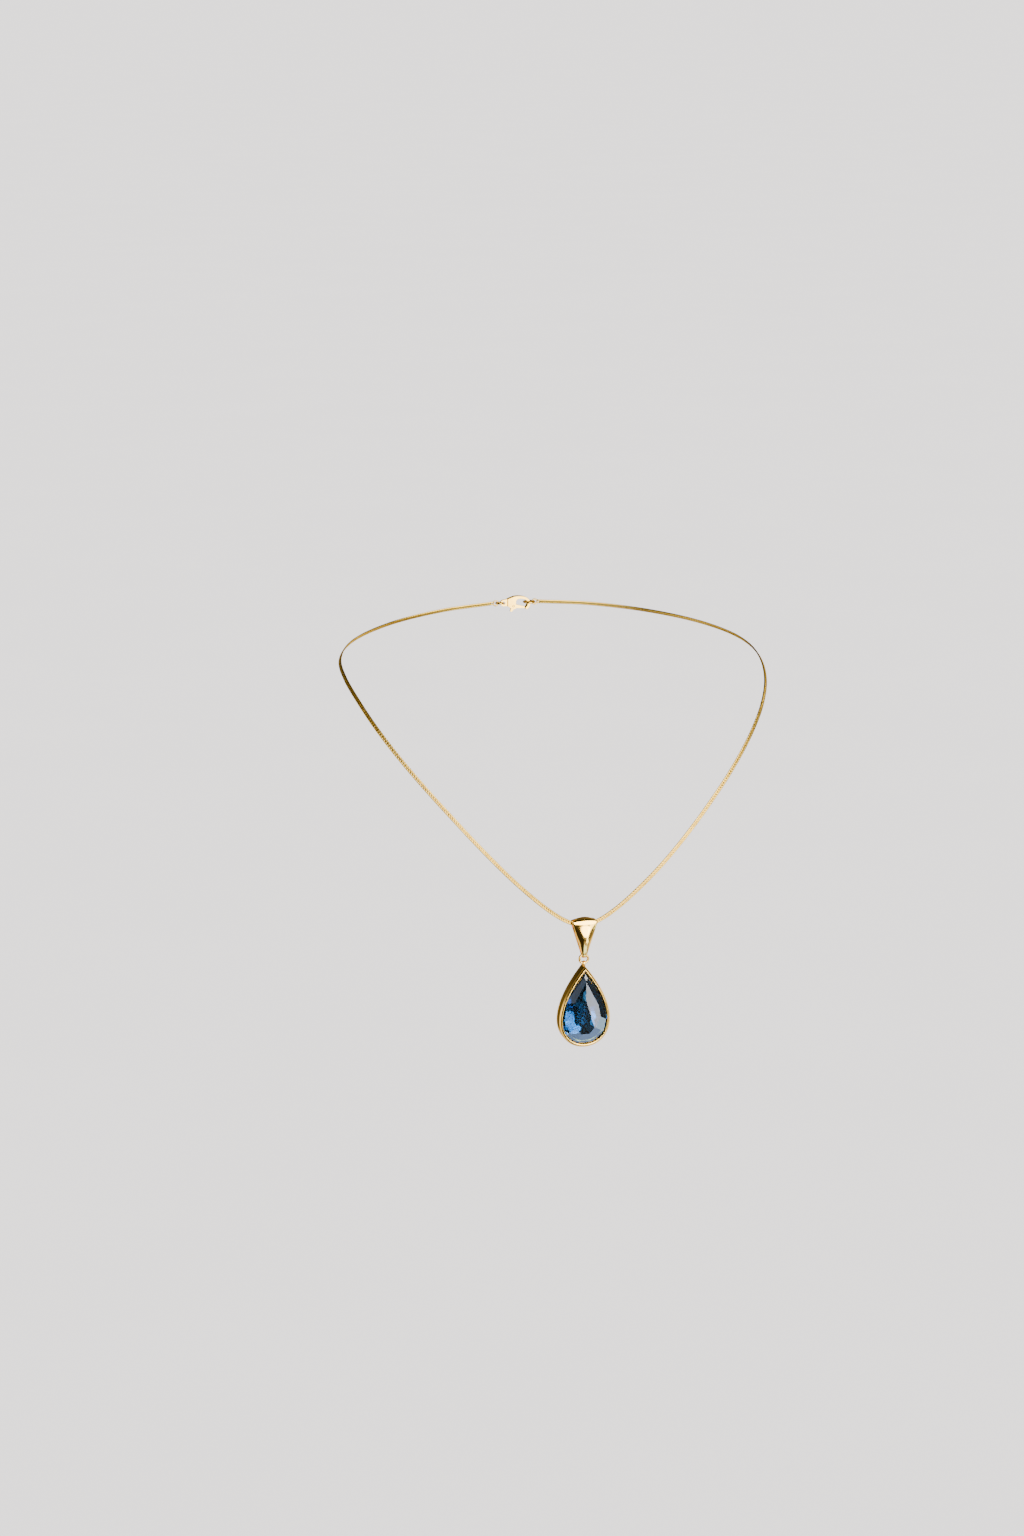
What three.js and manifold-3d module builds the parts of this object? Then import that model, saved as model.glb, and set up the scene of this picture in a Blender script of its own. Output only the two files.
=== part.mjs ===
// A fine gold pendant necklace: a teardrop stone in a bezel, hung from a domed bail on a curb chain, with a lobster
// clasp at the nape. Millimetres, +Z up, -Y to the front. The origin is the middle of the wearer's neck, at the level
// where the chain turns over the shoulders.
import * as THREE from 'three';
import { mergeVertices } from 'three/addons/utils/BufferGeometryUtils.js';
import Module from 'manifold-3d';

const wasm = await Module();
wasm.setup();

// Driving dimensions.
const FRONT_Y = -41.5; // plane in which the pendant hangs
const BAIL_Z = -80; // axis on which the bail rocks on the chain
const CHAIN_WIDTH = 1.3;
const CHAIN_STEPS = 80;
const CHAIN_SIDES = 8;

const BAIL = {
  topRadius: 1.15, // inside the roll that the chain runs through, at its edges
  eyeRadius: 0.75, // inside the eye at the bottom tip
  eyeDrop: 10.8, // from the roll's axis down to the eye's axis
  wall: 0.42,
  shoulderHalf: 4.4, // half width at the widest place
  shoulderRise: 0.5, // height of that place above the roll's axis
  apexHalf: 2.6, // half width over the top of the roll
  tipHalf: 0.75, // half width at the eye
  taperDrop: 11.2, // where the taper reaches that width, below the roll's axis
  // How far the middle swells beyond the edges, as [height above the roll's axis, swell].
  frontSwell: [[-10.8, 0.18], [-9, 0.52], [-8, 0.74], [-7, 0.93], [-6, 1.06], [-5, 1.07], [-4, 0.99], [-2, 0.75],
    [0, 0.52], [1.1, 0.55]],
  backSwell: [[-10.8, 0.05], [-2, 0.1], [0, 0.3], [1.1, 0.55]],
};

const RING = { radius: 1.5, wire: 0.8, drop: 11.0 }; // pendant ring; drop of its top wire below the bail's axis
const LOOP = { radius: 0.5, wall: 0.4, halfWidth: 0.45, foot: 1.6, clearance: 0.05 }; // arch on the bezel's tip

const BEZEL = { width: 17.8, tipDrop: 14.6, bottomDrop: 42.95, front: -2.15, back: 1.5, lip: 0.45 };
const CUP = { width: 16.2, tipDrop: 15.87, bottomDrop: 42.15 }; // inside of the bezel's wall
const OPENING = { width: 15.2, tipDrop: 16.6, bottomDrop: 41.35 }; // inside of the lip
const SEAT = { width: 14.2, tipDrop: 17.5, bottomDrop: 40.6, front: -0.55, back: 0.9, gap: 0.05 };
const PLATE = { front: 1.55, back: 2.15 };
const STONE = { width: 15.9, tipDrop: 16.2, bottomDrop: 41.95, girdleFront: -1.45, girdleBack: -1.15, table: -3.2 };

const NAPE = { y: 47.5, z: 13.6, halfSpan: 8.55 }; // clasp line, and the two ends of the chain on it
const END_LINK = { radius: 0.9, wire: 0.45, sink: 0.3 }; // sink: how far the chain's end overlaps it
const CLASP_RING = { radius: 1.3, wire: 0.6, x: -5.7 };
const CATCH_RING = { radius: 1.9, wire: 0.7, x: 5.1 };
const CLASP = {
  eyeX: -4.3, // axis of the eye that the clasp ring runs through
  eyeRadius: 0.55,
  eyeWall: 0.6,
  eyeThickness: 0.9,
  thickness: 2.2,
  slot: 1.2,
  leverThickness: 0.9,
  rivetX: -0.9,
  rivetZ: -1.15,
  rivetRadius: 0.35,
};

// Right half of the chain's route, from the bail round the neck to the clasp; the left half mirrors it.
const HALF_ROUTE = [
  [0, -41.5, -80.2], [3.2, -41.5, -80.05], [6.4, -41.6, -78.75], [10.9, -41.9, -75.8], [16.2, -42.2, -71.5],
  [24.5, -42.4, -63.8], [31.9, -42, -56.1], [38.9, -40.8, -48.4], [45.4, -39.1, -40.9], [51.7, -36.8, -33.5],
  [57.6, -33.7, -26.2], [63, -29.8, -19], [67.7, -24.8, -11.9], [71.3, -17.4, -5.2], [73.2, -5, 0.6],
  [71.5, 10, 4.2], [63, 27, 7], [47, 39.5, 9.8], [27, 46, 12.2], [8.55, 47.5, 13.6],
];

const group = new THREE.Group();

const gold = (color = 0xe3b458) => new THREE.MeshStandardMaterial({ color, roughness: 0.2, metalness: 1 });
const steel = () => new THREE.MeshStandardMaterial({ color: 0xb9bcc0, roughness: 0.3, metalness: 1 });
const glass = () => new THREE.MeshStandardMaterial({ color: 0x0d2450, roughness: 0.05, metalness: 0 });

function add(name, geometry, material) {
  const mesh = new THREE.Mesh(geometry, material);
  mesh.name = name;
  group.add(mesh);
  return mesh;
}

function solid(geometry) {
  const bare = geometry.clone();
  bare.deleteAttribute('normal');
  bare.deleteAttribute('uv');
  const merged = mergeVertices(bare, 1e-5);
  const vertProperties = new Float32Array(merged.attributes.position.array);
  const triVerts = new Uint32Array(merged.index.array);
  return new wasm.Manifold(new wasm.Mesh({ numProp: 3, vertProperties, triVerts }));
}

function geometryOf(manifold) {
  const mesh = manifold.getMesh();
  const geometry = new THREE.BufferGeometry();
  geometry.setAttribute('position', new THREE.BufferAttribute(mesh.vertProperties, 3));
  geometry.setIndex(new THREE.BufferAttribute(mesh.triVerts, 1));
  return geometry;
}

// Extrudes an outline drawn in X and Z from the plane y = front back to y = back.
function slab(shape, front, back, curveSegments = 24) {
  const geometry = new THREE.ExtrudeGeometry(shape, { depth: back - front, bevelEnabled: false, curveSegments });
  return geometry.rotateX(Math.PI / 2).translate(0, back, 0);
}

// A teardrop outline with its point up, drawn in X and Z about x = 0.
function teardrop({ width, tipDrop, bottomDrop }, steps = 48) {
  const widest = 0.7698; // largest value of sin(t) sin(t / 2)
  const top = BAIL_Z - tipDrop;
  const bottom = BAIL_Z - bottomDrop;
  const points = [];
  for (let i = 0; i < steps; i++) {
    const t = (2 * Math.PI * i) / steps;
    const x = (width / 2 / widest) * Math.sin(t) * Math.abs(Math.sin(t / 2));
    points.push(new THREE.Vector2(x, (top + bottom) / 2 + ((top - bottom) / 2) * Math.cos(t)));
  }
  return points;
}

// Joins closed sections, given in order round a closed loop or as an open run, into one closed surface.
function skin(sections, closed) {
  const count = sections[0].length;
  const positions = sections.flat().flatMap((p) => [p.x, p.y, p.z]);
  const index = [];
  const rows = closed ? sections.length : sections.length - 1;
  for (let i = 0; i < rows; i++) {
    const a = i * count;
    const b = ((i + 1) % sections.length) * count;
    for (let j = 0; j < count; j++) {
      const k = (j + 1) % count;
      index.push(a + j, b + j, b + k, a + j, b + k, a + k);
    }
  }
  if (!closed) {
    const last = (sections.length - 1) * count;
    for (let j = 1; j < count - 1; j++) {
      index.push(0, j, j + 1);
      index.push(last, last + j + 1, last + j);
    }
  }
  const geometry = new THREE.BufferGeometry();
  geometry.setAttribute('position', new THREE.Float32BufferAttribute(positions, 3));
  geometry.setIndex(index);
  return geometry;
}

const ring = ({ radius, wire }, around = 32) => new THREE.TorusGeometry(radius, wire / 2, 10, around);

// Chain: one plain tube along the whole route.
function chain() {
  const right = HALF_ROUTE.map((p) => new THREE.Vector3(...p));
  const left = HALF_ROUTE.slice(1).reverse().map(([x, y, z]) => new THREE.Vector3(-x, y, z));
  const path = new THREE.CatmullRomCurve3([...left, ...right], false, 'centripetal');
  const section = new THREE.Shape();
  for (let i = 0; i < CHAIN_SIDES; i++) {
    const a = (2 * Math.PI * i) / CHAIN_SIDES;
    const point = [(CHAIN_WIDTH / 2) * Math.cos(a), (CHAIN_WIDTH / 2) * Math.sin(a)];
    if (i === 0) section.moveTo(...point);
    else section.lineTo(...point);
  }
  section.closePath();
  add('chain', new THREE.ExtrudeGeometry(section, { steps: CHAIN_STEPS, extrudePath: path }), gold());
}

// End links: small rings in the clasp's plane, soldered to the last chain link on each side.
function endLinks() {
  const outside = END_LINK.radius + END_LINK.wire / 2;
  for (const [side, x] of [['left', -1], ['right', 1]]) {
    const link = ring(END_LINK).rotateX(Math.PI / 2);
    link.translate(x * (NAPE.halfSpan - END_LINK.sink - outside), NAPE.y, NAPE.z);
    add(`end_link_${side}`, link, gold());
  }
}

// Half width of the bail at a height above the roll's axis.
function bailHalfWidth(z) {
  const { shoulderHalf, shoulderRise, apexHalf, tipHalf, taperDrop, topRadius } = BAIL;
  if (z > shoulderRise) {
    const climb = (z - shoulderRise) / (topRadius - shoulderRise);
    return shoulderHalf - (shoulderHalf - apexHalf) * climb * climb;
  }
  const taper = (z + taperDrop) / (shoulderRise + taperDrop);
  return Math.max(tipHalf, tipHalf + (shoulderHalf - tipHalf) * taper);
}

// How far the bail's middle swells at a height above the roll's axis.
function bailSwell(y, z) {
  const table = y < 0 ? BAIL.frontSwell : BAIL.backSwell;
  const above = table.findIndex(([height]) => height >= z);
  if (above === 0) return table[0][1];
  if (above < 0) return table.at(-1)[1];
  const [[z0, swell0], [z1, swell1]] = table.slice(above - 1, above + 1);
  return swell0 + ((swell1 - swell0) * (z - z0)) / (z1 - z0);
}

// Bail: a domed band bent into a loop, wide where the chain runs through it and narrow at the eye.
function bail() {
  const { topRadius, eyeRadius, eyeDrop, wall } = BAIL;
  const lean = Math.asin((topRadius - eyeRadius) / eyeDrop);
  const stations = []; // point on the inner face, and the direction that points out of the loop, both in Y and Z
  const arc = (z, radius, from, to, steps) => {
    for (let i = 0; i <= steps; i++) {
      const a = from + ((to - from) * i) / steps;
      stations.push({ y: radius * Math.cos(a), z: z + radius * Math.sin(a), out: [Math.cos(a), Math.sin(a)] });
    }
  };
  const straight = (steps) => {
    const start = stations.at(-1);
    const side = Math.sign(start.y);
    const end = side < 0 ? [-eyeRadius * Math.cos(lean), -eyeDrop - eyeRadius * Math.sin(lean)]
      : [topRadius * Math.cos(lean), -topRadius * Math.sin(lean)];
    for (let i = 1; i < steps; i++) {
      const f = i / steps;
      stations.push({ ...start, y: start.y + (end[0] - start.y) * f, z: start.z + (end[1] - start.z) * f });
    }
  };
  arc(0, topRadius, -lean, Math.PI + lean, 16);
  straight(8);
  arc(-eyeDrop, eyeRadius, Math.PI + lean, 2 * Math.PI - lean, 10);
  straight(8);

  const across = [-1, -0.75, -0.5, -0.25, 0, 0.25, 0.5, 0.75, 1];
  const sections = stations.map(({ y, z, out }) => {
    const half = bailHalfWidth(z);
    const place = (f, thick) => {
      const x = f * half;
      const o = thick + bailSwell(y, z) * (1 - f * f);
      return new THREE.Vector3(x, y + out[0] * o, z + out[1] * o);
    };
    return [...across.map((f) => place(f, wall)), ...across.toReversed().map((f) => place(f, 0))];
  });
  add('bail', skin(sections, true).translate(0, FRONT_Y, BAIL_Z), gold());
}

function pendantRing() {
  const z = BAIL_Z - RING.drop - RING.radius;
  add('pendant_ring', ring(RING, 36).rotateX(Math.PI / 2).translate(0, FRONT_Y, z), gold());
}

// Bezel loop: an arch over the pendant ring's bottom wire, its feet shaped to the bezel's tip.
function bezelLoop() {
  const { radius, wall, halfWidth, clearance } = LOOP;
  const outer = radius + wall;
  const foot = -LOOP.foot;
  const arch = new THREE.Shape();
  arch.moveTo(-outer, foot);
  arch.lineTo(-outer, 0);
  arch.absarc(0, 0, outer, Math.PI, 0, true);
  arch.lineTo(outer, foot);
  arch.lineTo(radius, foot);
  arch.lineTo(radius, 0);
  arch.absarc(0, 0, radius, 0, Math.PI, false);
  arch.lineTo(-radius, foot);
  arch.closePath();
  const strap = new THREE.ExtrudeGeometry(arch, { depth: 2 * halfWidth, bevelEnabled: false, curveSegments: 12 });
  strap.translate(0, 0, -halfWidth).rotateX(Math.PI / 2).rotateZ(Math.PI / 2);
  strap.translate(0, FRONT_Y, BAIL_Z - RING.drop - 2 * RING.radius);
  const wallAround = slab(new THREE.Shape(teardrop({ ...BEZEL, tipDrop: BEZEL.tipDrop - clearance })), -3, 3);
  add('bezel_loop', geometryOf(solid(strap).subtract(solid(wallAround.translate(0, FRONT_Y, 0)))), gold());
}

// Bezel wall: the teardrop cup's side, with a lip turned in over the stone at the front.
function bezelWall() {
  const { front, back, lip } = BEZEL;
  const outside = solid(slab(new THREE.Shape(teardrop(BEZEL)), front, back));
  const cup = solid(slab(new THREE.Shape(teardrop(CUP)), front + lip, back + 1));
  const opening = solid(slab(new THREE.Shape(teardrop(OPENING)), front - 1, front + lip + 0.5));
  const wall = outside.subtract(cup).subtract(opening);
  add('bezel_wall', geometryOf(wall).translate(0, FRONT_Y, 0), gold());
}

// Seat ring: the bearing inside the wall that the stone's girdle rests on.
function seatRing() {
  const { gap, front, back } = SEAT;
  const outside = { width: CUP.width - 2 * gap, tipDrop: CUP.tipDrop + 2 * gap, bottomDrop: CUP.bottomDrop - gap };
  const seat = solid(slab(new THREE.Shape(teardrop(outside)), front, back));
  const hole = solid(slab(new THREE.Shape(teardrop(SEAT)), front - 1, back + 1));
  add('seat_ring', geometryOf(seat.subtract(hole)).translate(0, FRONT_Y, 0), gold());
}

function backPlate() {
  const plate = slab(new THREE.Shape(teardrop(BEZEL)), PLATE.front, PLATE.back);
  add('back_plate', plate.translate(0, FRONT_Y, 0), gold());
}

// Stone: a faceted teardrop, its girdle under the lip, its table a little proud of it, its keel inside the seat ring.
function stone() {
  const { width, tipDrop, bottomDrop, girdleFront, girdleBack, table } = STONE;
  const heart = (tipDrop + bottomDrop) / 2 + 2; // drop of the point that the outline shrinks towards
  const outline = (scale, y) => {
    const shrunk = {
      width: width * scale,
      tipDrop: heart + (tipDrop - heart) * scale,
      bottomDrop: heart + (bottomDrop - heart) * scale,
    };
    return teardrop(shrunk, 24).map((p) => new THREE.Vector3(p.x, FRONT_Y + y, p.y));
  };
  const sections = [
    outline(0.12, 1.2), outline(0.5, 0.6), outline(0.85, -0.45), outline(1, girdleBack), outline(1, girdleFront),
    outline(0.915, -1.75), outline(0.82, -2.3), outline(0.62, -2.85), outline(0.35, table),
  ];
  add('stone', skin(sections, false), glass());
}

// Clasp ring: joins the left end link to the clasp's eye. Catch ring: joins the right end link to the hook.
function napeRings() {
  for (const [name, size] of [['clasp_ring', CLASP_RING], ['catch_ring', CATCH_RING]]) {
    add(name, ring(size).translate(size.x, NAPE.y, NAPE.z), gold());
  }
}

// Clasp body: a flat hook with an eye at its tail, slotted from below for the lever.
function claspBody() {
  const { eyeX, eyeRadius, eyeWall, eyeThickness, thickness, slot, rivetX, rivetZ, rivetRadius } = CLASP;
  const eye = eyeRadius + eyeWall;
  const body = new THREE.Shape();
  body.moveTo(eyeX, -eye);
  body.absarc(eyeX, 0, eye, -Math.PI / 2, Math.PI / 2, true);
  body.bezierCurveTo(-2.6, 1.2, -1.6, 2.3, 0.6, 2.35);
  body.bezierCurveTo(3.6, 2.4, 5.25, 1.3, 5.25, -0.4);
  body.bezierCurveTo(5.25, -1.5, 4.6, -2.2, 3.85, -2.6);
  body.lineTo(3.5, -1.9);
  body.bezierCurveTo(4, -1.5, 4.35, -1, 4.35, -0.3);
  body.bezierCurveTo(4.3, 0.9, 3, 1.45, 1.2, 1.4);
  body.bezierCurveTo(0.3, 1.3, 0, 0.8, 0, 0.1);
  body.lineTo(0, -2.15);
  body.bezierCurveTo(-1, -2.5, -2.4, -1.5, -3, -eye);
  body.closePath();
  const pocket = new THREE.Shape();
  pocket.moveTo(-2.1, -3);
  pocket.lineTo(-2.1, -0.45);
  pocket.quadraticCurveTo(-2, 0.15, -0.9, 0.15);
  pocket.lineTo(0.5, 0.15);
  pocket.lineTo(0.5, -3);
  pocket.closePath();
  const through = 2 * thickness;
  const eyeHole = new THREE.CylinderGeometry(eyeRadius, eyeRadius, through, 24).translate(eyeX, 0, 0);
  const rivetBore = rivetRadius + 0.04;
  const rivetHole = new THREE.CylinderGeometry(rivetBore, rivetBore, through, 16).translate(rivetX, 0, rivetZ);
  const flank = new THREE.BoxGeometry(4, thickness, 6);
  const offset = (eyeThickness + thickness) / 2;
  const clasp = [
    slab(pocket, -slot / 2, slot / 2, 8), eyeHole, rivetHole,
    flank.clone().translate(eyeX - 0.6, -offset, 0), flank.translate(eyeX - 0.6, offset, 0),
  ].reduce((left, cut) => left.subtract(solid(cut)), solid(slab(body, -thickness / 2, thickness / 2, 14)));
  add('clasp_body', geometryOf(clasp).translate(0, NAPE.y, NAPE.z), gold());
}

// Clasp lever: closes the hook from inside, with a thumb tab under the rivet.
function claspLever() {
  const { leverThickness, rivetX, rivetZ, rivetRadius } = CLASP;
  const lever = new THREE.Shape();
  lever.moveTo(-0.9, -0.55);
  lever.bezierCurveTo(0.2, -0.65, 1.6, -1.1, 3.3, -1.5);
  lever.lineTo(3.4, -2.1);
  lever.bezierCurveTo(2, -2.15, 0.8, -2, 0, -1.95);
  lever.bezierCurveTo(-0.6, -2.1, -0.9, -2.8, -1.4, -3.3);
  lever.lineTo(-1.95, -3.05);
  lever.bezierCurveTo(-1.75, -2.5, -1.6, -1.9, -1.55, -1.4);
  lever.bezierCurveTo(-1.5, -0.8, -1.3, -0.55, -0.9, -0.55);
  const hole = new THREE.Path();
  hole.absarc(rivetX, rivetZ, rivetRadius + 0.04, 0, 2 * Math.PI, false);
  lever.holes.push(hole);
  const blade = slab(lever, -leverThickness / 2, leverThickness / 2, 14);
  add('clasp_lever', blade.translate(0, NAPE.y, NAPE.z), gold());
}

function claspRivet() {
  const { rivetX, rivetZ, rivetRadius, thickness } = CLASP;
  const pin = new THREE.CylinderGeometry(rivetRadius, rivetRadius, thickness + 0.1, 16);
  add('clasp_rivet', pin.translate(rivetX, NAPE.y, NAPE.z + rivetZ), gold(0xc79a45));
}

// Clasp spring: a bent flat spring in the pocket above the lever.
function claspSpring() {
  const leaf = new THREE.Shape();
  leaf.moveTo(-1.95, -0.35);
  leaf.quadraticCurveTo(-1.85, 0.05, -0.9, 0.05);
  leaf.lineTo(-0.15, 0.05);
  leaf.lineTo(-0.15, -0.1);
  leaf.lineTo(-0.9, -0.1);
  leaf.quadraticCurveTo(-1.7, -0.1, -1.8, -0.4);
  leaf.closePath();
  add('clasp_spring', slab(leaf, -0.35, 0.35, 8).translate(0, NAPE.y, NAPE.z), steel());
}

chain();
endLinks();
bail();
pendantRing();
bezelLoop();
bezelWall();
seatRing();
backPlate();
stone();
napeRings();
claspBody();
claspLever();
claspRivet();
claspSpring();

export default group;
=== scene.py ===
"""The pendant necklace's looks: curb chain, domed bail, teardrop stone in a bezel and lobster clasp."""

import math

import bmesh
import bpy
import numpy as np
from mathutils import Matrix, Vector


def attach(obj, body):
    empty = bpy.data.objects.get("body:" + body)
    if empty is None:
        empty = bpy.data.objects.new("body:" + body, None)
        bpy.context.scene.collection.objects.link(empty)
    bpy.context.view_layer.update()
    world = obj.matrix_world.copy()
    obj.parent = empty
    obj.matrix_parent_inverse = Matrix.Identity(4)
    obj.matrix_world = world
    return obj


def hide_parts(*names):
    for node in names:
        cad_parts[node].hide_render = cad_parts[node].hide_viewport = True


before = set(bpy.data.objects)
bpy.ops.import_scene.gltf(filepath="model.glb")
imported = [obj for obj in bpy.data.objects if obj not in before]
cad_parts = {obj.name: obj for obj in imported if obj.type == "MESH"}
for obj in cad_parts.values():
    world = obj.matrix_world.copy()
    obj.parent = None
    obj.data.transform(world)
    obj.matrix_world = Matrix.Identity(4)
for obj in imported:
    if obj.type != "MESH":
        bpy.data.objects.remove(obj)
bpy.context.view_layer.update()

MM = 0.001
FRONT_Y = -41.5  # plane in which the pendant hangs, mm
BAIL_Z = -80.0  # axis on which the bail rocks, mm


# ---------------------------------------------------------------- camera

CAMERA_AZIMUTH = math.radians(-15.0)
CAMERA_ELEVATION = math.radians(13.0)
CAMERA_DISTANCE = 1.218
CAMERA_AIM = Vector((-0.0203, -0.0239, -0.0293))


def make_camera():
    back = Vector((
        math.sin(CAMERA_AZIMUTH) * math.cos(CAMERA_ELEVATION),
        -math.cos(CAMERA_AZIMUTH) * math.cos(CAMERA_ELEVATION),
        math.sin(CAMERA_ELEVATION),
    ))
    data = bpy.data.cameras.new("camera")
    data.lens = 85.0
    data.sensor_width = 36.0
    data.clip_start = 0.01
    camera = bpy.data.objects.new("camera", data)
    camera.location = CAMERA_AIM + back * CAMERA_DISTANCE
    camera.rotation_euler = back.to_track_quat("Z", "Y").to_euler()
    bpy.context.scene.collection.objects.link(camera)
    bpy.context.scene.camera = camera


make_camera()


# ---------------------------------------------------------------- node materials

def new_material(name):
    material = bpy.data.materials.new(name)
    material.use_nodes = True
    nodes = material.node_tree.nodes
    return material, nodes, material.node_tree.links, nodes["Principled BSDF"]


def noise(nodes, links, scale, detail=3.0, stretch=None):
    """A noise texture in object space; scale counts features in a metre."""
    coords = nodes.new("ShaderNodeTexCoord")
    texture = nodes.new("ShaderNodeTexNoise")
    texture.inputs["Scale"].default_value = scale
    texture.inputs["Detail"].default_value = detail
    source = coords.outputs["Object"]
    if stretch:
        mapping = nodes.new("ShaderNodeMapping")
        mapping.inputs["Scale"].default_value = stretch
        links.new(source, mapping.inputs["Vector"])
        source = mapping.outputs["Vector"]
    links.new(source, texture.inputs["Vector"])
    return texture.outputs["Fac"]


def ramp(nodes, links, fac, stops):
    node = nodes.new("ShaderNodeValToRGB")
    elements = node.color_ramp.elements
    elements[0].position, elements[0].color = stops[0][0], (*stops[0][1], 1)
    elements[1].position, elements[1].color = stops[-1][0], (*stops[-1][1], 1)
    for position, colour in stops[1:-1]:
        elements.new(position).color = (*colour, 1)
    links.new(fac, node.inputs["Fac"])
    return node.outputs["Color"]


def spread(nodes, links, fac, low, high):
    node = nodes.new("ShaderNodeMapRange")
    node.inputs["To Min"].default_value = low
    node.inputs["To Max"].default_value = high
    links.new(fac, node.inputs["Value"])
    return node.outputs["Result"]


def bump(nodes, links, shader, height, depth):
    node = nodes.new("ShaderNodeBump")
    node.inputs["Distance"].default_value = depth
    links.new(height, node.inputs["Height"])
    links.new(node.outputs["Normal"], shader.inputs["Normal"])


def metal(name, light, deep, rough=(0.08, 0.16), wave=6e-6, scratch=1.2e-6):
    """Polished metal: faint colour drift, hand-polish waviness and hairline scratches."""
    material, nodes, links, shader = new_material(name)
    shader.inputs["Metallic"].default_value = 1.0
    shader.inputs["Specular Tint"].default_value = (1.0, 0.82, 0.42, 1.0)
    broad = noise(nodes, links, 420.0)
    fine = noise(nodes, links, 9000.0, 2.0, (1.0, 1.0, 0.12))
    links.new(ramp(nodes, links, broad, [(0.3, deep), (0.7, light)]), shader.inputs["Base Color"])
    links.new(spread(nodes, links, fine, *rough), shader.inputs["Roughness"])
    total = nodes.new("ShaderNodeMath")
    total.operation = "MULTIPLY_ADD"
    links.new(fine, total.inputs[0])
    total.inputs[1].default_value = scratch / wave
    links.new(broad, total.inputs[2])
    bump(nodes, links, shader, total.outputs[0], wave)
    return material


def gem(name, colour):
    """Deep blue glass with faint colour zoning."""
    material, nodes, links, shader = new_material(name)
    shader.inputs["Transmission Weight"].default_value = 0.985
    shader.inputs["IOR"].default_value = 1.72
    shader.inputs["Roughness"].default_value = 0.0
    zone = noise(nodes, links, 160.0, 1.0)
    deep = tuple(0.8 * c for c in colour)
    links.new(ramp(nodes, links, zone, [(0.35, deep), (0.65, colour)]), shader.inputs["Base Color"])
    return material


GOLD = metal("gold_polished", (0.96, 0.60, 0.13), (0.90, 0.53, 0.095))
# The chain's gold is the polished gold painted darker: painted shade that dims the lamps' highlights on the
# chain.
SHADED_CHAIN_GOLD = metal("gold_chain_painted_shade", (0.52, 0.33, 0.05), (0.42, 0.25, 0.032), (0.2, 0.32), 3e-6)
# The clasp's gold is also the polished gold painted darker: painted shade that dims its highlights at the
# nape.
SHADED_CLASP_GOLD = metal("gold_clasp_painted_shade", (0.66, 0.42, 0.08), (0.56, 0.34, 0.055), (0.1, 0.2), 2e-6)
INNER_GOLD = metal("gold_inside", (0.85, 0.46, 0.12), (0.66, 0.33, 0.08), (0.25, 0.4))
STEEL = metal("spring_steel", (0.62, 0.62, 0.64), (0.5, 0.5, 0.52), (0.2, 0.34), 2e-6)
STONE = gem("blue_stone", (0.17, 0.50, 0.84))
FOIL = metal("stone_foil", (0.26, 0.46, 0.62), (0.05, 0.12, 0.20), (0.02, 0.06), 2e-6, 2e-7)


# ---------------------------------------------------------------- mesh helpers

def add_piece(name, vertices, faces, material, body, slot, replaced=(), sharp=None):
    """A mesh from millimetre vertices, made metric and put on its body."""
    mesh = bpy.data.meshes.new(name)
    mesh.from_pydata([Vector(v) * MM for v in vertices], [], faces)
    return finish_piece(name, mesh, material, body, replaced, sharp)


def finish_piece(name, mesh, material, body, replaced=(), sharp=None):
    tidy = bmesh.new()
    tidy.from_mesh(mesh)
    bmesh.ops.recalc_face_normals(tidy, faces=tidy.faces)
    tidy.to_mesh(mesh)
    tidy.free()
    if sharp is not None:
        mesh.shade_smooth()
        mesh.set_sharp_from_angle(angle=math.radians(sharp))
    if not mesh.materials:
        mesh.materials.append(material)
    piece = bpy.data.objects.new(name, mesh)
    bpy.context.scene.collection.objects.link(piece)
    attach(piece, body)
    if replaced:
        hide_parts(*replaced)
    return piece


def grid_faces(rows, columns, closed_rows=True, start=0):
    """Quads between rows of closed loops; the rows close on themselves or end in caps."""
    faces = []
    for i in range(rows if closed_rows else rows - 1):
        for j in range(columns):
            a, b = i * columns, (i + 1) % rows * columns
            k = (j + 1) % columns
            faces.append((start + a + j, start + b + j, start + b + k, start + a + k))
    if not closed_rows:
        faces.append(tuple(start + j for j in range(columns)))
        faces.append(tuple(start + (rows - 1) * columns + j for j in reversed(range(columns))))
    return faces


def torus(centre, across, along, radius, wire, around=96, sides=24):
    """Vertices and faces of a ring of round wire in the plane of two unit vectors."""
    across, along = Vector(across), Vector(along)
    normal = across.cross(along)
    vertices = []
    for i in range(around):
        a = 2 * math.pi * i / around
        out = math.cos(a) * across + math.sin(a) * along
        for j in range(sides):
            b = 2 * math.pi * j / sides
            reach = radius + wire / 2 * math.cos(b)
            vertices.append(Vector(centre) + reach * out + wire / 2 * math.sin(b) * normal)
    return vertices, grid_faces(around, sides)


# ---------------------------------------------------------------- chain

LINK_PITCH = 0.95
END_LINK_SINK = 0.2  # how far in from each end of the route the last link's middle sits
LINK = {"half_length": 0.76, "half_width": 0.46, "twist": 0.07, "wire": 0.265, "flat": 0.25}
LINK_END_CURVE, LINK_SIDE_CURVE = 0.5, 0.4  # powers of the link's outline: 1 is an ellipse, less is squarer
LINK_AROUND = 22
LINK_SIDES = 8

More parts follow.
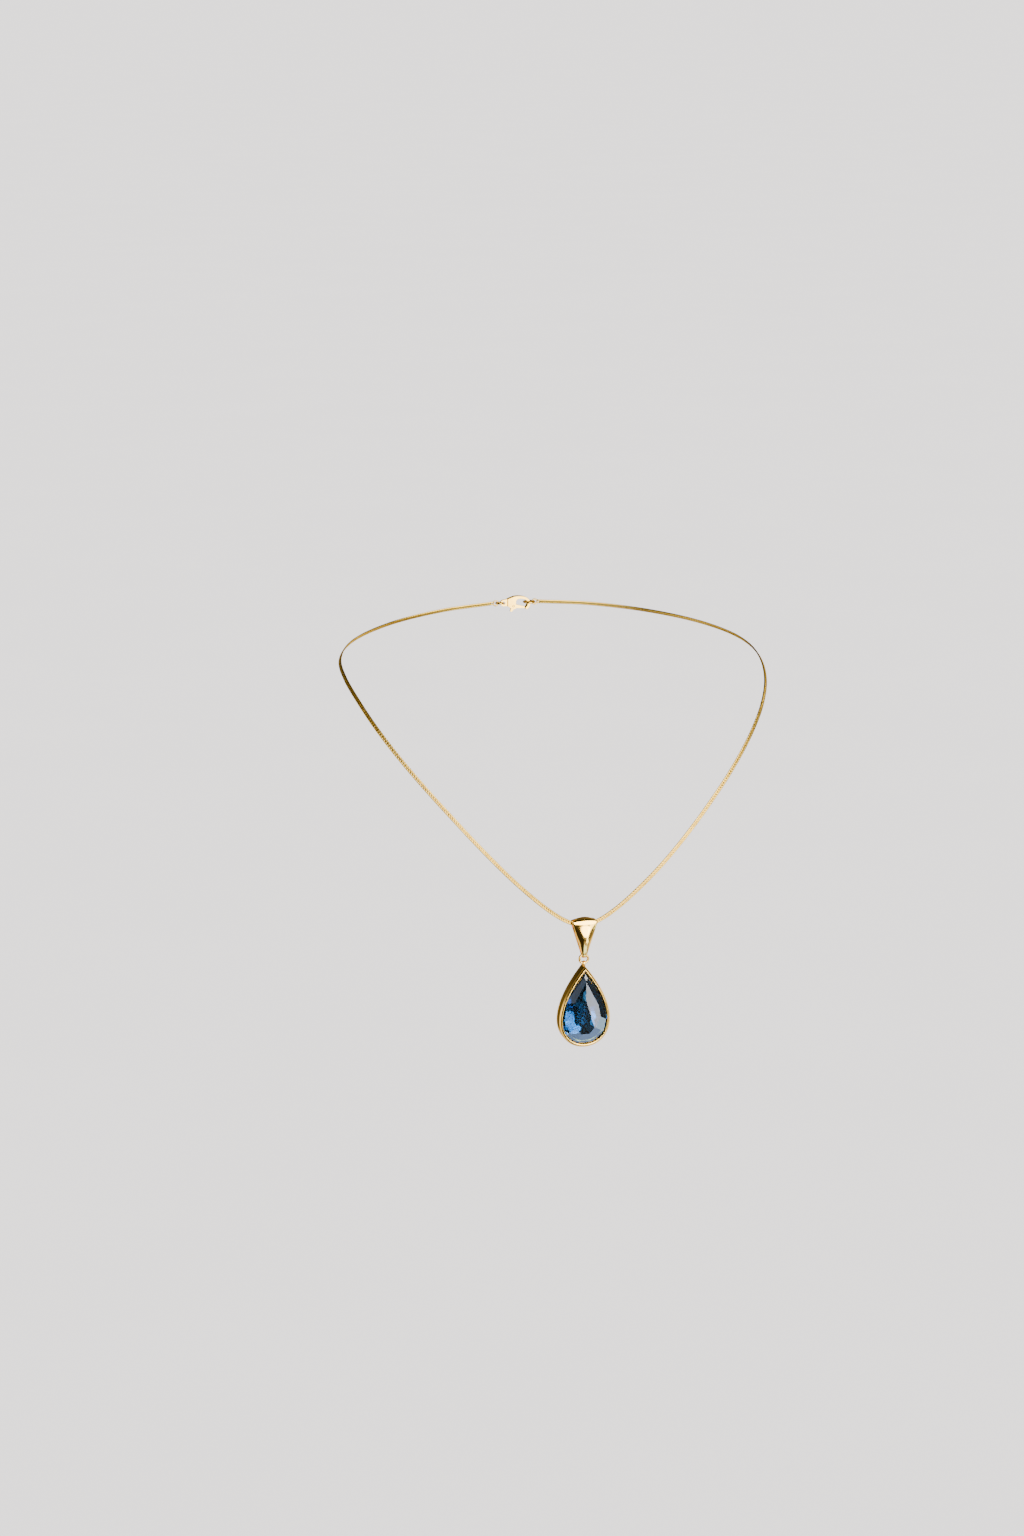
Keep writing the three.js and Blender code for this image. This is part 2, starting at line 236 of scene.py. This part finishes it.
# Right half of the chain's route, mm, from the bail round the neck to the clasp; the left half mirrors it.
HALF_ROUTE = [
    (0, -41.5, -80.2), (3.2, -41.5, -80.05), (6.4, -41.6, -78.75), (10.9, -41.9, -75.8),
    (16.2, -42.2, -71.5), (24.5, -42.4, -63.8), (31.9, -42, -56.1), (38.9, -40.8, -48.4),
    (45.4, -39.1, -40.9), (51.7, -36.8, -33.5), (57.6, -33.7, -26.2), (63, -29.8, -19),
    (67.7, -24.8, -11.9), (71.3, -17.4, -5.2), (73.2, -5, 0.6), (71.5, 10, 4.2),
    (63, 27, 7), (47, 39.5, 9.8), (27, 46, 12.2), (8.55, 47.5, 13.6),
]
# The oval that the links' flat faces look out from, mm, and how far they also look up.
NECK_WIDTH, NECK_DEPTH, NECK_MIDDLE_Y, UPWARD = 146, 50, 5, 0.35


def catmull_rom(points, steps=24):
    """A centripetal Catmull-Rom curve through the points."""
    points = [Vector(p) for p in points]
    points = [2 * points[0] - points[1], *points, 2 * points[-1] - points[-2]]
    curve = []
    for p0, p1, p2, p3 in zip(points, points[1:], points[2:], points[3:]):
        t1 = (p1 - p0).length ** 0.5
        t2 = t1 + (p2 - p1).length ** 0.5
        t3 = t2 + (p3 - p2).length ** 0.5
        for i in range(steps):
            t = t1 + (t2 - t1) * i / steps
            a1 = p0.lerp(p1, t / t1)
            a2 = p1.lerp(p2, (t - t1) / (t2 - t1))
            a3 = p2.lerp(p3, (t - t2) / (t3 - t2))
            b1 = a1.lerp(a2, t / t2)
            b2 = a2.lerp(a3, (t - t1) / (t3 - t1))
            curve.append(b1.lerp(b2, (t - t1) / (t2 - t1)))
    return [*curve, points[-2]]


def even_points(curve, pitch, margin):
    """Points along a polyline a pitch apart, from a margin inside one end to a margin inside the other."""
    reach = [0.0]
    for a, b in zip(curve, curve[1:]):
        reach.append(reach[-1] + (b - a).length)
    wanted = np.linspace(margin, reach[-1] - margin, round((reach[-1] - 2 * margin) / pitch) + 1)
    columns = [np.interp(wanted, reach, [p[k] for p in curve]) for k in range(3)]
    return [Vector(p) for p in zip(*columns)], reach[-1]


def make_chain():
    route = [(-x, y, z) for x, y, z in reversed(HALF_ROUTE[1:])] + HALF_ROUTE
    curve = catmull_rom(route)
    centres, length = even_points(curve, LINK_PITCH, END_LINK_SINK)
    vertices, faces = [], []
    for i, centre in enumerate(centres):
        before, after = centres[max(i - 1, 0)], centres[min(i + 1, len(centres) - 1)]
        along = (after - before).normalized()
        outward = Vector((centre.x / NECK_WIDTH, (centre.y - NECK_MIDDLE_Y) / NECK_DEPTH, UPWARD))
        outward = (outward - outward.dot(along) * along).normalized()
        start = len(vertices)
        vertices += link_vertices(centre, along, outward.cross(along), outward)
        faces += grid_faces(LINK_AROUND, LINK_SIDES, True, start)
    chain = add_piece("chain_links", vertices, faces, SHADED_CHAIN_GOLD, "chain", "gold", ["chain"], 40)


def link_vertices(centre, along, side, outward):
    """One twisted oval link, its faces filed flat on the front and back of the chain."""
    a, b, c = LINK["half_length"], LINK["half_width"], LINK["twist"]
    line = []
    for i in range(LINK_AROUND):
        t = 2 * math.pi * i / LINK_AROUND
        cos, sin = math.cos(t), math.sin(t)
        x = a * math.copysign(abs(cos) ** LINK_END_CURVE, cos)
        y = b * math.copysign(abs(sin) ** LINK_SIDE_CURVE, sin)
        line.append(Vector((x, y, c * math.sin(2 * t))))
    vertices = []
    for i, point in enumerate(line):
        tangent = (line[(i + 1) % LINK_AROUND] - line[i - 1]).normalized()
        up = Vector((0, 0, 1))
        up = (up - up.dot(tangent) * tangent).normalized()
        across = tangent.cross(up)
        for j in range(LINK_SIDES):
            q = 2 * math.pi * (j + 0.5) / LINK_SIDES
            v = point + LINK["wire"] * (math.cos(q) * across + math.sin(q) * up)
            z = max(-LINK["flat"], min(LINK["flat"], v.z))
            vertices.append(centre + v.x * along + v.y * side + z * outward)
    return vertices


make_chain()


# ---------------------------------------------------------------- bail

BAIL = {
    "top": 1.15, "eye": 0.75, "drop": 10.8, "wall": 0.42, "shoulder": 4.4, "rise": 0.5, "apex": 2.6,
    "tip": 0.75,
}
TAPER_BEYOND = 0.4  # how far below the eye's axis the taper reaches the tip's width


def bail_half_width(z):
    if z > BAIL["rise"]:
        climb = (z - BAIL["rise"]) / (BAIL["top"] - BAIL["rise"])
        return BAIL["shoulder"] - (BAIL["shoulder"] - BAIL["apex"]) * climb ** 2
    foot = -BAIL["drop"] - TAPER_BEYOND
    climb = (z - foot) / (BAIL["rise"] - foot)
    return max(BAIL["tip"], BAIL["tip"] + (BAIL["shoulder"] - BAIL["tip"]) * climb)


# How far the middle of the bail swells beyond its edges, by height above the roll's axis.
FRONT_SWELL = [
    (-10.8, 0.18), (-9.0, 0.52), (-8.0, 0.74), (-7.0, 0.93), (-6.0, 1.06), (-5.0, 1.07), (-4.0, 0.99),
    (-3.0, 0.88), (-2.0, 0.75), (-1.0, 0.62), (0.0, 0.52), (1.1, 0.55),
]
BACK_SWELL = [(-10.8, 0.05), (-2.0, 0.1), (0.0, 0.3), (1.1, 0.55)]
SWELL_SMOOTHINGS = 10


def bail_swell(y, z):
    heights, swells = zip(*(FRONT_SWELL if y < 0 else BACK_SWELL))
    return float(np.interp(z, heights, swells))


def make_bail():
    top, eye, drop, wall = BAIL["top"], BAIL["eye"], BAIL["drop"], BAIL["wall"]
    lean = math.asin((top - eye) / drop)
    stations = []

    def arc(z, radius, start, end, steps):
        for i in range(steps + 1):
            a = start + (end - start) * i / steps
            stations.append((radius * math.cos(a), z + radius * math.sin(a), math.cos(a), math.sin(a)))

    def straight(y, z, steps):
        y0, z0, oy, oz = stations[-1]
        for i in range(1, steps):
            f = i / steps
            stations.append((y0 + (y - y0) * f, z0 + (z - z0) * f, oy, oz))

    arc(0, top, -lean, math.pi + lean, 48)
    straight(-eye * math.cos(lean), -drop - eye * math.sin(lean), 40)
    arc(-drop, eye, math.pi + lean, 2 * math.pi - lean, 28)
    straight(top * math.cos(lean), -top * math.sin(lean), 40)

    across, round_steps = 28, 8
    vertices = []
    swells = np.array([bail_swell(y, z) for y, z, _, _ in stations])
    for _ in range(SWELL_SMOOTHINGS):
        swells = (np.roll(swells, 1) + 2 * swells + np.roll(swells, -1)) / 4
    for (y, z, oy, oz), swell in zip(stations, swells):
        half = bail_half_width(z)
        edge = wall / 2
        flat = half - edge
        profile = [(flat * (2 * i / across - 1), wall) for i in range(across + 1)]
        turns = [math.pi * i / round_steps for i in range(1, round_steps)]
        profile += [(flat + edge * math.sin(a), edge + edge * math.cos(a)) for a in turns]
        profile += [(-x, 0.0) for x, _ in profile[:across + 1]]
        profile += [(-x, wall - o) for x, o in profile[across + 1:across + round_steps]]
        for x, o in profile:
            o += swell * (1 - (x / half) ** 2)
            vertices.append((x, FRONT_Y + y + oy * o, BAIL_Z + z + oz * o))
    faces = grid_faces(len(stations), len(vertices) // len(stations))
    add_piece("bail_band", vertices, faces, GOLD, "bail", "gold", ["bail"], 50)


make_bail()


# ---------------------------------------------------------------- pendant ring and loop

RING = {"radius": 1.5, "wire": 0.8, "drop": 11.0}
LOOP = {"radius": 0.5, "wall": 0.4, "half": 0.45, "foot": 1.35}  # foot: stretch of its lower half


def make_pendant_ring():
    centre = (0, FRONT_Y, BAIL_Z - RING["drop"] - RING["radius"])
    shape = torus(centre, (1, 0, 0), (0, 0, 1), RING["radius"], RING["wire"])
    add_piece("pendant_jump_ring", *shape, GOLD, "pendant_ring", "gold", ["pendant_ring"], 60)


def make_bezel_loop():
    """A half-round band closed round the ring's wire, its foot sunk in the bezel's tip."""
    middle = LOOP["radius"] + LOOP["wall"] / 2
    axis_z = BAIL_Z - RING["drop"] - 2 * RING["radius"]
    around, sides = 40, 20
    vertices = []
    for i in range(around):
        a = 2 * math.pi * i / around
        for j in range(sides):
            q = 2 * math.pi * j / sides
            r = middle + LOOP["wall"] / 2 * math.cos(q)
            z = r * math.sin(a)
            z *= LOOP["foot"] if z < 0 else 1
            vertices.append((LOOP["half"] * math.sin(q), FRONT_Y + r * math.cos(a), axis_z + z))
    faces = grid_faces(around, sides)
    add_piece("bezel_hanging_loop", vertices, faces, GOLD, "pendant", "gold", ["bezel_loop"], 50)


make_pendant_ring()
make_bezel_loop()


# ---------------------------------------------------------------- bezel

BEZEL = {"width": 17.8, "tip": 14.6, "bottom": 42.95}
STONE_SIZE = {"width": 15.9, "tip": 16.2, "bottom": 41.95}
TIP_SLANT = 1.59  # how far the tip moves in for each millimetre that the outline is offset
OUTLINE_STEPS = 160
HALF_SINE_PEAK = 0.7698  # greatest value of sin(t) * sin(t / 2)


def teardrop(width, tip, bottom, t):
    """A point (x, z) on a teardrop outline at angle t from its tip."""
    x = width / 2 / HALF_SINE_PEAK * math.sin(t) * abs(math.sin(t / 2))
    middle, half = (tip + bottom) / 2, (bottom - tip) / 2
    return x, BAIL_Z - middle + half * math.cos(t)


def offset_outline(inset, y):
    """The bezel's outline moved in by inset, at depth y."""
    size = (BEZEL["width"] - 2 * inset, BEZEL["tip"] + TIP_SLANT * inset, BEZEL["bottom"] - inset)
    points = (teardrop(*size, 2 * math.pi * i / OUTLINE_STEPS) for i in range(OUTLINE_STEPS))
    return [(x, FRONT_Y + y, z) for x, z in points]


def make_bezel():
    """The wall with its burnished front lip, swept as nested outlines."""
    profile = [
        (0.0, 1.45), (0.05, 1.5), (0.75, 1.5), (0.8, 1.45), (0.8, -1.6), (0.85, -1.68), (1.08, -1.7),
        (1.13, -1.76), (1.12, -1.86), (1.06, -1.97), (0.98, -2.06), (0.88, -2.13), (0.78, -2.15),
        (0.66, -2.12), (0.5, -2.03), (0.33, -1.9), (0.19, -1.76), (0.09, -1.61), (0.03, -1.46),
        (0.0, -1.28), (0.0, -0.5), (0.0, 0.5),
    ]
    vertices = [p for inset, y in profile for p in offset_outline(inset, y)]
    faces = grid_faces(len(profile), OUTLINE_STEPS)
    add_piece("bezel_cup", vertices, faces, GOLD, "pendant", "gold", ["bezel_wall"], 40)


def make_back_plate():
    """The closed back, its rim rounded over."""
    profile = [(0.5, 1.55), (0.06, 1.55), (0.0, 1.62), (0.0, 1.95), (0.04, 2.08), (0.14, 2.14), (0.3, 2.15)]
    vertices = [p for inset, y in profile for p in offset_outline(inset, y)]
    faces = grid_faces(len(profile), OUTLINE_STEPS, False)
    add_piece("bezel_back", vertices, faces, GOLD, "pendant", "gold", ["back_plate"], 30)


make_bezel()
make_back_plate()


# ---------------------------------------------------------------- stone

GIRDLE_FRONT, GIRDLE_BACK, TABLE, STONE_BACK = -1.45, -1.15, -3.2, 1.2
STONE_STEPS = 96
# Facets by angle round the outline from its tip, and slope up from the girdle, in degrees.
CROWN_GIRDLE = [(98, 34), (116, 32), (131, 32), (146, 33), (160, 34), (173, 34)]
CROWN_MAINS = [
    (18, 60), (40, 54), (62, 47), (74, 36), (87, 23), (103, 19.5), (122, 16.8), (148, 16.5), (180, 17),
]
FORK_DROP = 26.2  # where the ridge between the two long facets forks, below the bail's axis
RIDGE_TILT = math.radians(9)
KEYSTONE_TILT = math.radians(2.8)
TIP_DROP, TIP_TILT = 19.6, math.radians(18.5)
PAVILION_GIRDLE, PAVILION_GIRDLE_SLOPE = (20, 52, 82, 110, 136, 160), 30
PAVILION_MAINS, PAVILION_MAIN_SLOPE = (36, 68, 97, 123, 148, 180), 22
PAVILION_STEP, PAVILION_LIFT = 0.3, 0.5  # how far back from the girdle, and in from it, the mains start


def outline_frame(t):
    """The girdle point at angle t, and the outward direction there, in x and z."""
    size = (STONE_SIZE["width"], STONE_SIZE["tip"], STONE_SIZE["bottom"])
    x0, z0 = teardrop(*size, t - 0.02)
    x1, z1 = teardrop(*size, t + 0.02)
    x, z = teardrop(*size, t)
    dx, dz = x1 - x0, z1 - z0
    length = math.hypot(dx, dz)
    return (x, z), (-dz / length, dx / length)


def cut(body, point, normal, index):
    """Grinds one facet: takes away what lies beyond the plane and closes the cut."""
    geometry = body.verts[:] + body.edges[:] + body.faces[:]
    result = bmesh.ops.bisect_plane(
        body, geom=geometry, dist=1e-5, plane_co=point, plane_no=normal, clear_outer=True,
    )
    edges = [e for e in result["geom_cut"] if isinstance(e, bmesh.types.BMEdge) and e.is_boundary]
    if len(edges) > 2:
        for face in bmesh.ops.contextual_create(body, geom=edges)["faces"]:
            face.material_index = index


def side_facets(body, angles, slope, start_y, direction, index, lift=0.0):
    """Facets that rise from the girdle at these angles from the tip, in degrees, mirrored left and right."""
    for degrees in angles:
        for sign in ((1, -1) if degrees not in (0, 180) else (1,)):
            (x, z), (nx, nz) = outline_frame(math.radians(degrees))
            tilt = math.radians(slope)
            sin, cos = math.sin(tilt), math.cos(tilt)
            normal = (sign * nx * sin, direction * cos, nz * sin)
            point = (sign * (x - lift * nx), FRONT_Y + start_y, z - lift * nz)
            cut(body, point, normal, index)


def make_stone():
    body = bmesh.new()
    rows = []
    size = (STONE_SIZE["width"], STONE_SIZE["tip"], STONE_SIZE["bottom"])
    for y in (TABLE, STONE_BACK):
        points = (teardrop(*size, 2 * math.pi * i / STONE_STEPS) for i in range(STONE_STEPS))
        rows.append([body.verts.new((x, FRONT_Y + y, z)) for x, z in points])
    body.faces.new(rows[0])
    body.faces.new(reversed(rows[1]))
    for j in range(STONE_STEPS):
        k = (j + 1) % STONE_STEPS
        body.faces.new((rows[0][j], rows[1][j], rows[1][k], rows[0][k]))
    bmesh.ops.recalc_face_normals(body, faces=body.faces)
    # Crown: girdle facets and mains, then two long facets that meet in a ridge, the keystone where the
    # ridge forks, and a small facet at the tip.
    for degrees, slope in CROWN_GIRDLE + CROWN_MAINS:
        side_facets(body, (degrees,), slope, GIRDLE_FRONT, -1, 0)
    fork = (0.0, FRONT_Y + TABLE, BAIL_Z - FORK_DROP)
    for sign in (1, -1):
        cut(body, fork, (sign * math.sin(RIDGE_TILT), -math.cos(RIDGE_TILT), 0.0), 0)
    cut(body, fork, (0.0, -math.cos(KEYSTONE_TILT), -math.sin(KEYSTONE_TILT)), 0)
    tip = (0.0, FRONT_Y + TABLE, BAIL_Z - TIP_DROP)
    cut(body, tip, (0.0, -math.cos(TIP_TILT), math.sin(TIP_TILT)), 0)
    # Pavilion, foiled behind.
    side_facets(body, PAVILION_GIRDLE, PAVILION_GIRDLE_SLOPE, GIRDLE_BACK, 1, 1)
    side_facets(
        body, PAVILION_MAINS, PAVILION_MAIN_SLOPE, GIRDLE_BACK + PAVILION_STEP, 1, 1, PAVILION_LIFT,
    )
    bmesh.ops.scale(body, vec=(MM, MM, MM), verts=body.verts)
    for face in body.faces:
        if face.calc_center_median().y > (FRONT_Y + GIRDLE_BACK + 0.02) * MM:
            face.material_index = 1
    mesh = bpy.data.meshes.new("teardrop_stone")
    body.to_mesh(mesh)
    body.free()
    mesh.materials.append(STONE)
    mesh.materials.append(FOIL)
    finish_piece("teardrop_stone", mesh, STONE, "pendant", ["stone"])


make_stone()


# ---------------------------------------------------------------- clasp at the nape

NAPE_Y, NAPE_Z = 47.5, 13.6
NAPE_RINGS = {  # node: middle x, radius and wire, mm
    "end_link_left": (-7.125, 0.9, 0.45), "end_link_right": (7.125, 0.9, 0.45),
    "clasp_ring": (-5.7, 1.3, 0.6), "catch_ring": (5.1, 1.9, 0.7),
}
NAPE_BODIES = {"clasp_ring": "clasp", "catch_ring": "catch_ring"}
SOFT_EDGES = {  # node: body and width of the rounding, mm
    "clasp_body": ("clasp", 0.16), "clasp_lever": ("clasp_lever", 0.1), "clasp_rivet": ("clasp", 0.09),
}
SOFT_FLAT, SOFT_CREASE = math.radians(2), math.radians(40)  # faces joined below, and rounded above
FACING_OUT = 0.999  # y part of a flat front or back face's normal


def make_nape_rings():
    """The end links stand in the clasp's plane, and the other two rings lie across it."""
    for node, (x, radius, wire) in NAPE_RINGS.items():
        across = (0, 0, 1) if node.startswith("end_link") else (0, 1, 0)
        shape = torus((x, NAPE_Y, NAPE_Z), (1, 0, 0), across, radius, wire, 64, 20)
        body = NAPE_BODIES.get(node, "chain")
        add_piece(node + "_round", *shape, SHADED_CLASP_GOLD, body, "gold", [node], 60)


def soften(node, body, width):
    """Replaces a clasp part by a copy whose edges are rounded over."""
    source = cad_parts[node]
    mesh = source.data.copy()
    mesh.name = node + "_soft"
    mesh.transform(source.matrix_world)
    mesh.materials.clear()
    shape = bmesh.new()
    shape.from_mesh(mesh)
    bmesh.ops.remove_doubles(shape, verts=shape.verts, dist=1e-7)
    bmesh.ops.dissolve_limit(shape, angle_limit=SOFT_FLAT, verts=shape.verts, edges=shape.edges)
    edges = [e for e in shape.edges if e.is_manifold and e.calc_face_angle(0.0) > SOFT_CREASE]
    bmesh.ops.bevel(
        shape, geom=edges, offset=width * MM, offset_type="OFFSET", segments=3, profile=0.5, affect="EDGES",
        clamp_overlap=True,
    )
    shape.to_mesh(mesh)
    shape.free()
    piece = finish_piece(node + "_soft", mesh, SHADED_CLASP_GOLD, body, [node], 50)
    for polygon in piece.data.polygons:
        if abs(polygon.normal.y) > FACING_OUT:
            polygon.use_smooth = False


make_nape_rings()
for node, (body, width) in SOFT_EDGES.items():
    soften(node, body, width)
for node, material in {"seat_ring": INNER_GOLD, "clasp_spring": STEEL}.items():
    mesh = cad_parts[node].data
    mesh.materials.clear()
    mesh.materials.append(material)


# ---------------------------------------------------------------- stage and light

FLOOR_Z = -0.258
BACKDROP = (0.80, 0.765, 0.755)
FLOOR_REACH = 40.0
DOME = 2.6  # even light on the floor


def make_floor():
    mesh = bpy.data.meshes.new("floor")
    corners = [(x * FLOOR_REACH, y * FLOOR_REACH, FLOOR_Z) for x, y in ((-1, -1), (1, -1), (1, 1), (-1, 1))]
    mesh.from_pydata(corners, [], [(0, 1, 2, 3)])
    material, nodes, links, shader = new_material("floor")
    shader.inputs["Roughness"].default_value = 1.0
    shader.inputs["Specular IOR Level"].default_value = 0.0
    grain = noise(nodes, links, 9.0)
    colour = ramp(nodes, links, grain, [(0.3, (0.785, 0.75, 0.74)), (0.7, BACKDROP)])
    links.new(colour, shader.inputs["Base Color"])
    mesh.materials.append(material)
    floor = bpy.data.objects.new("floor", mesh)
    floor.visible_glossy = False
    floor.visible_transmission = False
    floor.visible_shadow = False
    bpy.context.scene.collection.objects.link(floor)


# The room that the necklace reflects, by azimuth in degrees, 0 in front and 90 at the +X side: how bright
# its wall and its floor are there.
WARM = (1.0, 0.93, 0.84)
ROOM = [
    (-90, 2.6, 1.8), (-64, 2.4, 1.6), (-56, 0.05, 0.04), (-12, 0.03, 0.03), (2, 0.05, 0.9), (28, 0.05, 0.9),
    (46, 0.1, 0.9), (61, 0.25, 0.6), (84, 0.35, 1.0), (91, 2.8, 2.0), (122, 2.4, 1.6), (150, 1.5, 1.0),
    (180, 1.3, 0.9), (189, 0.14, 0.3), (210, 0.14, 0.3), (228, 1.4, 1.0), (245, 2.0, 1.4), (270, 2.6, 1.8),
]


def world_background(nodes, colour, strength):
    node = nodes.new("ShaderNodeBackground")
    node.inputs["Color"].default_value = (*colour, 1)
    node.inputs["Strength"].default_value = strength
    return node


def room_ring(nodes, links, turn, column):
    """The room's wall (column 1) or floor (column 2) all the way round, from azimuth -90 to 270."""
    stops = [((stop[0] + 90) / 360, tuple(stop[column] * c for c in WARM)) for stop in ROOM]
    return ramp(nodes, links, turn, stops)


def make_world():
    """Pale where it is seen, an even dome on the floor, and bright and dark walls in reflections."""
    world = bpy.data.worlds.new("studio")
    bpy.context.scene.world = world
    world.use_nodes = True
    nodes, links = world.node_tree.nodes, world.node_tree.links
    nodes.clear()
    output = nodes.new("ShaderNodeOutputWorld")
    seen = world_background(nodes, BACKDROP, DOME)
    dome = world_background(nodes, (1.0, 1.0, 1.0), DOME)
    room = world_background(nodes, (0.0, 0.0, 0.0), 1.0)
    coords = nodes.new("ShaderNodeTexCoord")
    turn = nodes.new("ShaderNodeTexGradient")
    turn.gradient_type = "RADIAL"
    links.new(coords.outputs["Generated"], turn.inputs["Vector"])
    walls, ground = (room_ring(nodes, links, turn.outputs["Fac"], column) for column in (1, 2))
    split = nodes.new("ShaderNodeSeparateXYZ")
    links.new(coords.outputs["Generated"], split.inputs["Vector"])
    height = nodes.new("ShaderNodeMapRange")
    height.inputs["From Min"].default_value = -1.0
    links.new(split.outputs["Z"], height.inputs["Value"])
    layers = ramp(nodes, links, height.outputs["Result"], [
        (0.0, (1.0, 1.0, 1.0)), (0.53, (1.0, 1.0, 1.0)), (0.59, (0.5, 0.5, 0.5)), (0.64, (0.1, 0.1, 0.1)),
        (1.0, (0.1, 0.1, 0.1)),
    ])
    above = nodes.new("ShaderNodeMapRange")
    above.inputs["From Min"].default_value = -0.5
    above.inputs["From Max"].default_value = -0.36
    links.new(split.outputs["Z"], above.inputs["Value"])
    tone = nodes.new("ShaderNodeMix")
    tone.data_type = "RGBA"
    tone.blend_type = "MULTIPLY"
    tone.inputs["Factor"].default_value = 1.0
    links.new(walls, tone.inputs["A"])
    links.new(layers, tone.inputs["B"])
    whole = nodes.new("ShaderNodeMix")
    whole.data_type = "RGBA"
    links.new(above.outputs["Result"], whole.inputs["Factor"])
    links.new(ground, whole.inputs["A"])
    links.new(tone.outputs["Result"], whole.inputs["B"])
    links.new(whole.outputs["Result"], room.inputs["Color"])
    path = nodes.new("ShaderNodeLightPath")
    reflected = nodes.new("ShaderNodeMixShader")
    links.new(path.outputs["Is Diffuse Ray"], reflected.inputs["Fac"])
    links.new(room.outputs["Background"], reflected.inputs[1])
    links.new(dome.outputs["Background"], reflected.inputs[2])
    mix = nodes.new("ShaderNodeMixShader")
    links.new(path.outputs["Is Camera Ray"], mix.inputs["Fac"])
    links.new(reflected.outputs["Shader"], mix.inputs[1])
    links.new(seen.outputs["Background"], mix.inputs[2])
    links.new(mix.outputs["Shader"], output.inputs["Surface"])


PENDANT = Vector((0.0, FRONT_Y * MM, -0.105))


def card(name, azimuth, elevation, distance, size, radiance, colour=(1, 1, 1)):
    """A softbox facing the pendant; azimuth 0 is in front and 90 at its +X side."""
    a, e = math.radians(azimuth), math.radians(elevation)
    toward = Vector((math.sin(a) * math.cos(e), -math.cos(a) * math.cos(e), math.sin(e)))
    data = bpy.data.lights.new(name, "AREA")
    data.shape = "RECTANGLE"
    data.size, data.size_y = size
    data.energy = radiance * math.pi * size[0] * size[1]
    data.color = colour
    light = bpy.data.objects.new(name, data)
    light.location = PENDANT + toward * distance
    light.rotation_euler = toward.to_track_quat("Z", "Y").to_euler()
    light.visible_camera = False
    light.visible_diffuse = False
    bpy.context.scene.collection.objects.link(light)


make_floor()
make_world()
card("facet_softbox", 34.2, -17, 0.7, (0.16, 0.28), 8.5, (0.86, 0.90, 1.0))
card("left_strip", -27, 0, 0.7, (0.08, 0.08), 1.1, (0.66, 0.76, 1.0))
card("key", 16, 20, 0.8, (0.80, 0.92), 13.0, (1.0, 0.99, 0.97))
card("low_right_card", 51, -26, 0.7, (0.09, 0.12), 9.0, (0.55, 0.80, 1.0))
card("underside", 22, -47, 0.6, (0.55, 0.2), 5.0, (0.32, 0.54, 1.0))
